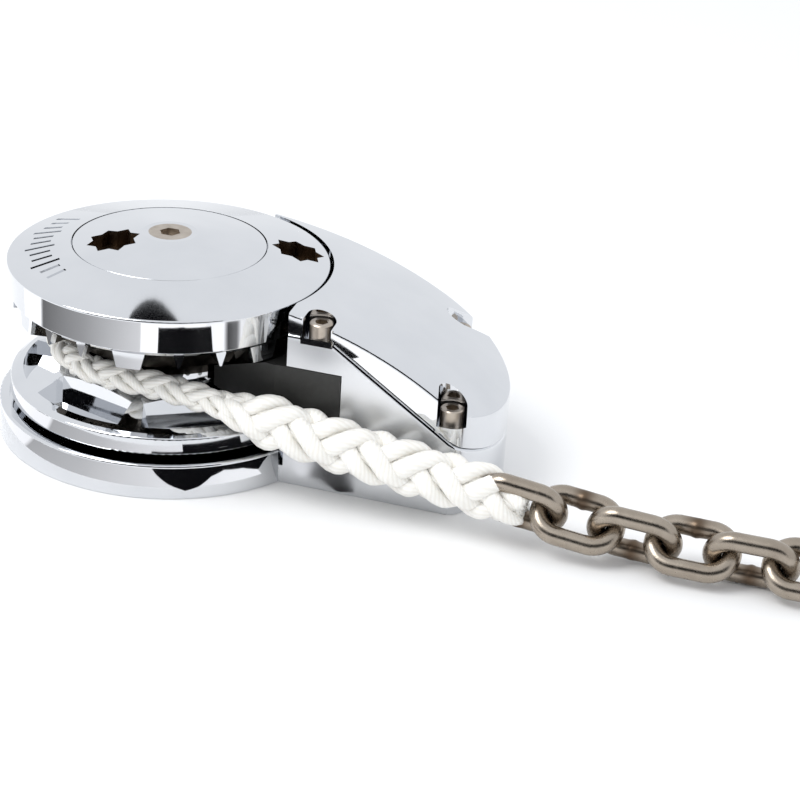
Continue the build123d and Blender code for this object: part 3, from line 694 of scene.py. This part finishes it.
chain_tones = (0.27, 0.225, 0.18), (0.47, 0.415, 0.35)
chain_steel = bare_metal("chain_steel", *chain_tones, 0.18, 130.0, weld=True)
finishes = {
    "chrome_casting": chrome_plate,
    "rope": nylon_yarn,
    "chain_steel": chain_steel,
    "screw_steel": bare_metal("screw_steel", (0.33, 0.28, 0.23), (0.60, 0.54, 0.47), 0.24, 260.0),
    "stainless": bare_metal("stainless", (0.52, 0.52, 0.51), (0.68, 0.68, 0.67), 0.22, 180.0),
    "bearing_steel": bare_metal("bearing_steel", (0.62, 0.63, 0.64), (0.76, 0.77, 0.78), 0.10, 90.0),
    "spring_steel": bare_metal("spring_steel", (0.22, 0.23, 0.25), (0.36, 0.37, 0.39), 0.28, 300.0),
    "bronze": bare_metal("bronze", (0.50, 0.31, 0.13), (0.72, 0.50, 0.25), 0.26, 110.0),
    "finger": bare_metal("finger_steel", (0.50, 0.50, 0.49), (0.64, 0.64, 0.62), 0.30, 220.0),
    "stripper": dull("stripper_acetal", (0.014, 0.014, 0.013), (0.030, 0.030, 0.028), 0.42, 2400.0, 0.00005),
    "rubber": dull("black_rubber", (0.006, 0.006, 0.006), (0.016, 0.016, 0.016), 0.60, 1800.0, 0.00005),
}
print("finishes:", len(finishes))


# %% [markdown]
# ## Dress every node
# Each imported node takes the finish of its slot. The nut, the wheel's upper half and the housing have a
# chrome of their own.

# %% Finish the nodes
own_finish = {
    "clutch_nut": chrome_nut,
    "chainwheel_upper": chrome_ring,
    "base_housing": chrome_housing,
}
for part in frame["record"]["subparts"]:
    node = part["node"]
    surface = own_finish.get(node, finishes[part["material_slot"]])
    mesh = frame["nodes"][node].data
    mesh.materials.clear()
    mesh.materials.append(surface)
for piece in (rope, splice):
    piece.data.materials.append(nylon_yarn)
for piece in links:
    piece.data.materials.append(finishes["chain_steel"])
print("dressed:", len(frame["nodes"]) + len(links) + 2, "pieces")


# %% [markdown]
# ## Join the new pieces to the frame
# The rope, its splice and the links stand for their plain solids and ride on the deck unit.

# %% Ride and replace
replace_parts(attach(rope, "deck_unit"), "rope")
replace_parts(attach(splice, "deck_unit"), "rope_splice")
for number, piece in enumerate(links, start=1):
    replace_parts(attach(piece, "deck_unit"), f"chain_link_{number}")
print("cord length:", round(rope_length, 4))


# %% [markdown]
# ## Floor and light
# Chrome shows its surroundings, so the studio is part of its looks: a pale floor, a bright tent, one soft
# light, and cards that draw tones and edges on the metal. The floor comes first.

# %% Floor
floor_size = 8.0
floor_drop = 0.2 * millimetre

deselect()
bpy.ops.mesh.primitive_plane_add(size=floor_size, location=(0, 0, -floor_drop))
floor = bpy.context.object
floor.name = "floor"
floor_paint = Finish("floor_paint", Roughness=0.8, Specular_IOR_Level=0.1)
floor_paint.set(Base_Color=floor_paint.mix(floor_paint.noise(2.0), (0.90, 0.90, 0.90), (0.92, 0.92, 0.92)))
floor.data.materials.append(floor_paint.material)
print("floor:", floor_size, "m")


# %% [markdown]
# ## Cards
# A card is a flat glowing shape. It is hidden from the camera and from matt surfaces, so that only mirrors
# pick it up. Most lie on the floor as parts of rings about the shaft, because an upright rim mirrors
# the floor in front of it, at the same angle about the shaft.

# %% Make a card
sector_step = 2.4


def glow(name, colour, strength=1.0):
    """A plain glowing surface."""
    finish = Finish(name)
    light = finish.node("ShaderNodeEmission", sockets={"Color": as_colour(colour), "Strength": strength})
    finish.plug(finish.tree.nodes["Material Output"].inputs["Surface"], light)
    finish.tree.nodes.remove(finish.shader)
    return finish.material


def card(name, corners, material):
    """A flat card of the studio that only mirror surfaces see."""
    mesh = bpy.data.meshes.new(name)
    mesh.from_pydata(corners, [], [tuple(range(len(corners)))])
    mesh.materials.append(material)
    made = bpy.data.objects.new(name, mesh)
    bpy.context.scene.collection.objects.link(made)
    made.visible_camera = False
    made.visible_diffuse = False
    made.visible_shadow = False


def on_ring(angle, radius, height):
    """A place at an angle in degrees and a radius in metres about the shaft."""
    turn = math.radians(angle)
    return radius * math.cos(turn), radius * math.sin(turn), height


def wavy_sector(edges, outer, height):
    """A ring's sector whose inner edge passes through (angle, radius) pairs."""
    inner = [on_ring(angle, radius, height) for angle, radius in edges]
    return inner + [on_ring(angle, outer, height) for angle, radius in reversed(edges)]


def sector(inner, outer, start, end, height):
    """A ring's plain sector, from one angle to another."""
    steps = round((end - start) / sector_step)
    angles = [start + (end - start) * k / steps for k in range(steps + 1)]
    return wavy_sector([(angle, inner) for angle in angles], outer, height)


black = glow("black_card", (0.004, 0.004, 0.005))
bright = glow("bright_card", (1.0, 1.0, 1.0), 1.5)
print("plain cards:", black.name, bright.name)


# %% [markdown]
# ## Tones that change round the rim
# Round the wheel's rim and the base the mirrored studio runs from bright to grey and back. A ramp on the
# angle about the shaft paints that on one card. Its stops are degrees and tones.

# %% Shaded cards
def shaded(name, stops):
    """A glow whose tone follows the angle about the shaft, as a card sees it."""
    finish = Finish(name)
    x, y, z = finish.axes()
    share = (y.math("ARCTAN2", y, x) + math.pi) * (1 / full_turn)
    ramp_stops = [((angle + 180) / 360, (tone, tone, tone * 1.02)) for angle, tone in stops]
    ramp = finish.node("ShaderNodeValToRGB", {"stops": ramp_stops}, {"Fac": share})
    light = finish.node("ShaderNodeEmission", sockets={"Color": ramp, "Strength": 1.0})
    finish.plug(finish.tree.nodes["Material Output"].inputs["Surface"], light)
    finish.tree.nodes.remove(finish.shader)
    return finish.material


rim_tones = shaded("rim_tones", (
    (-180, 1.5), (-156, 1.5), (-154, 0.20), (-120, 0.45), (-79, 0.95), (-40, 1.4), (-35, 1.4), (-33, 0.08),
    (-26, 0.25), (-24, 1.2), (-13, 0.9), (-9, 0.02), (5, 0.02),
))
base_tones = shaded("base_tones", (
    (-180, 1.4), (-133, 1.3), (-131, 0.55), (-100, 0.70), (-72, 1.0), (-40, 1.2), (0, 1.2),
))
print("shaded cards:", rim_tones.name, base_tones.name)


# %% [markdown]
# ## Where the cards lie
# The first ones lie under the rim and in front of the base. One patch floats above the floor, because the
# cover mirrors the same stretch of floor and should stay white there. Two stand high up: a dark wall behind
# the camera, which draws the thin black lines along the edges, and a dark disc behind the windlass,
# which shows as a half-moon on the dome.

# %% Place the cards
lowest, above_lowest, highest = 0.0004, 0.0008, 0.0010
patch_height = 0.040

# A row holds a name, the inner and outer radius, the first and last angle, the height and the finish.
floor_cards = (
    ("rim_tent_left", 0.146, 0.196, -176, -84, lowest, rim_tones),
    ("rim_tent_right", 0.146, 0.176, -46, -15, lowest, rim_tones),
    ("band_tent", 0.150, 0.215, -84, -46, lowest, bright),
    ("rim_patch", 0.099, 0.119, -73, -46, patch_height, black),
    ("base_tent", 0.083, 0.112, -176, -30, lowest, base_tones),
    ("flange_patch", 0.1045, 0.112, -60, -30, highest, black),
)
for name, inner, outer, start, end, height, material in floor_cards:
    card(name, sector(inner, outer, start, end, height), material)
base_patch = (
    (-75, 0.103), (-72, 0.094), (-67, 0.085), (-61, 0.079), (-56, 0.082), (-50, 0.090), (-44, 0.094),
    (-36, 0.092), (-30, 0.087), (-26, 0.092), (-20, 0.098),
)
base_patch_outer = 0.105
card("base_patch", wavy_sector(base_patch, base_patch_outer, above_lowest), black)

wall_foot, wall_head = 0.25, 1.15
dark_wall = [(-1.2, -1.6, wall_foot), (1.9, -1.2, wall_foot), (1.7, -1.0, wall_head), (-1.0, -1.4, wall_head)]
card("dark_front", dark_wall, black)

moon_from = Vector((0.036, -0.053, 0.083))
moon_way = Vector((-0.270, 0.553, 0.788))
moon_distance, moon_width, moon_height, moon_corners = 0.6, 0.060, 0.030, 24
moon = moon_from + moon_distance * moon_way
turns = [full_turn * k / moon_corners for k in range(moon_corners)]
moon_rim = [moon + Vector((moon_width * math.cos(turn), 0.0, moon_height * math.sin(turn))) for turn in turns]
card("dark_disc_above", moon_rim, black)


# %% [markdown]
# ## Light
# A bright, even surround lights a mirror better than lamps do, because it is what the mirror shows. One soft
# box from the left adds the shadows under the chain. The plain view transform keeps the white floor white.

# %% World and soft box
world_colour, world_strength = (0.95, 0.97, 1.0, 1.0), 1.0
key_place, key_target = Vector((-0.5, -0.5, 1.1)), Vector((0.08, 0.0, 0.0))
key_size, key_power = 0.7, 8.0

world = bpy.data.worlds.new("tent")
bpy.context.scene.world = world
world.use_nodes = True
surround = world.node_tree.nodes["Background"]
surround.inputs["Color"].default_value = world_colour
surround.inputs["Strength"].default_value = world_strength
bpy.context.scene.view_settings.view_transform = "Standard"

key_data = bpy.data.lights.new("key", "AREA")
key_data.size, key_data.energy = key_size, key_power
key = bpy.data.objects.new("key", key_data)
key.location = key_place
key.rotation_mode = "QUATERNION"
key.rotation_quaternion = (key_target - key_place).to_track_quat("-Z", "Y")
bpy.context.scene.collection.objects.link(key)
print("soft box:", round((key_target - key_place).length, 2), "m away")


# %% [markdown]
# ## Bring the scene up to date
# The view layer is updated once more, so that every object stands in its final place.

# %% Finish
bpy.context.view_layer.update()
